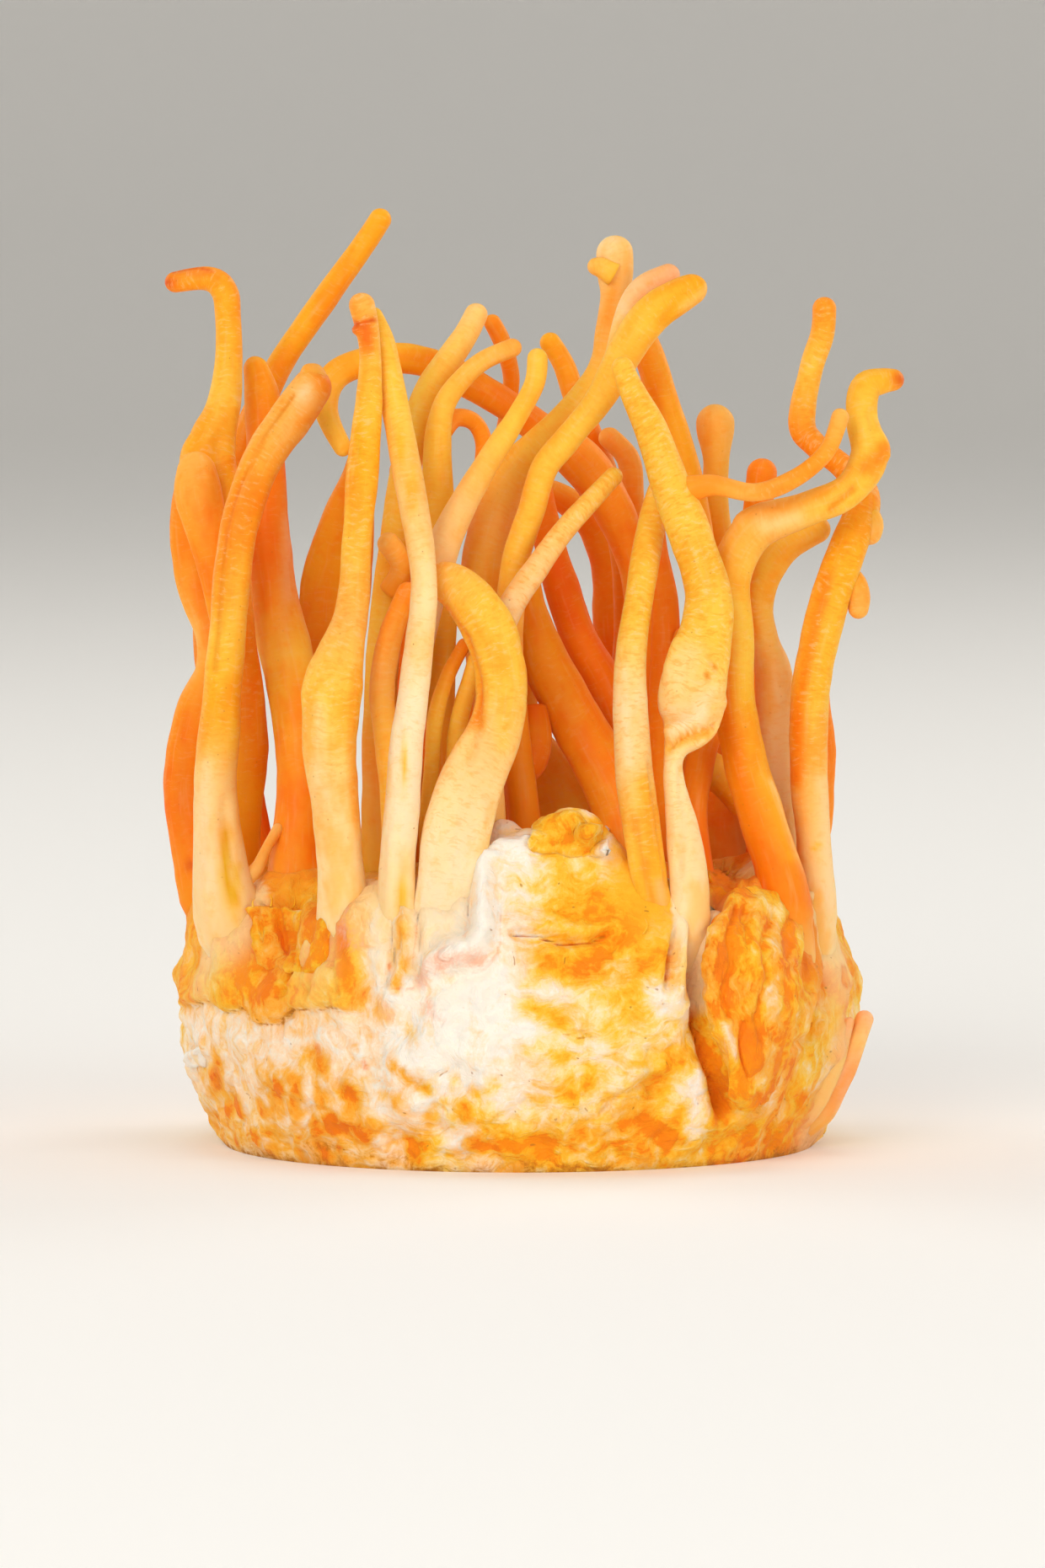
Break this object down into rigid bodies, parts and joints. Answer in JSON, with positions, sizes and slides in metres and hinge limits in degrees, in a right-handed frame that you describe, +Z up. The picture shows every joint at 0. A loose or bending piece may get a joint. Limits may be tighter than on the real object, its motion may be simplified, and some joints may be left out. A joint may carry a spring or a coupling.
{
  "type": "cordyceps bunch",
  "caption": "Wavy orange cordyceps stalks, some hooked, forked or flattened, standing close together on a round pale cake of mycelium and grain.",
  "frame": {"origin": "middle of the bunch on the plane that the cake's flat underside rests on", "axes": "+Z up along the stalks, -Y is the front that the picture shows, +X to the picture's right"},
  "size_m": [0.0788, 0.0754, 0.1006],
  "materials": {
    "cake_mycelium": "matt, velvety, with orange and yellow patches",
    "stalk_orange": "satin, velvety",
    "stalk_yellow": "satin, velvety",
    "stalk_pale": "satin, velvety",
    "stalk_deep": "satin, velvety"
  },
  "bodies": {
    "root": {"cake": "cake_mycelium", "antler_stalk": "stalk_orange", "arch_stalk": "stalk_deep", "back_hook_stalk": "stalk_deep", "back_tip_stalk": "stalk_orange", "bowed_stalk": "stalk_yellow", "broad_slanting_stalk": "stalk_deep", "brown_back_stalk": "stalk_deep", "c_curve_stalk": "stalk_yellow", "capped_prong": "stalk_pale", "capped_stalk": "stalk_yellow", "crook_stalk": "stalk_yellow", "curled_bud": "stalk_yellow", "dark_slanting_stalk": "stalk_deep", "front_right_stalk": "stalk_yellow", "front_side_stalk": "stalk_pale", "front_tall_stalk": "stalk_yellow", "hoop_twig": "stalk_orange", "inner_thin_stalk_left": "stalk_yellow", "inner_thin_stalk_right": "stalk_yellow", "knob_stalk": "stalk_orange", "leaning_stalk": "stalk_orange", "left_club_stalk": "stalk_yellow", "left_flap": "stalk_deep", "long_club_stalk": "stalk_yellow", "outer_left_stalk": "stalk_deep", "outer_right_stalk": "stalk_yellow", "pale_diagonal_stalk": "stalk_pale", "pale_prong": "stalk_pale", "pointed_stalk": "stalk_deep", "rear_stalk_1": "stalk_deep", "rear_stalk_10": "stalk_deep", "rear_stalk_11": "stalk_orange", "rear_stalk_12": "stalk_yellow", "rear_stalk_2": "stalk_orange", "rear_stalk_3": "stalk_deep", "rear_stalk_4": "stalk_orange", "rear_stalk_5": "stalk_deep", "rear_stalk_6": "stalk_orange", "rear_stalk_7": "stalk_orange", "rear_stalk_8": "stalk_orange", "rear_stalk_9": "stalk_yellow", "right_inner_stalk": "stalk_yellow", "ringed_stalk": "stalk_pale", "round_tip_stalk": "stalk_orange", "shaded_stalk": "stalk_deep", "shoulder_stalk": "stalk_orange", "side_stub": "stalk_orange", "small_tip_stalk": "stalk_orange", "thin_arm": "stalk_yellow", "thin_drop_stalk": "stalk_orange", "twisted_blade_stalk": "stalk_yellow", "wide_back_stalk": "stalk_orange", "yellow_prong_stalk": "stalk_yellow"}
  },
  "joints": []
}
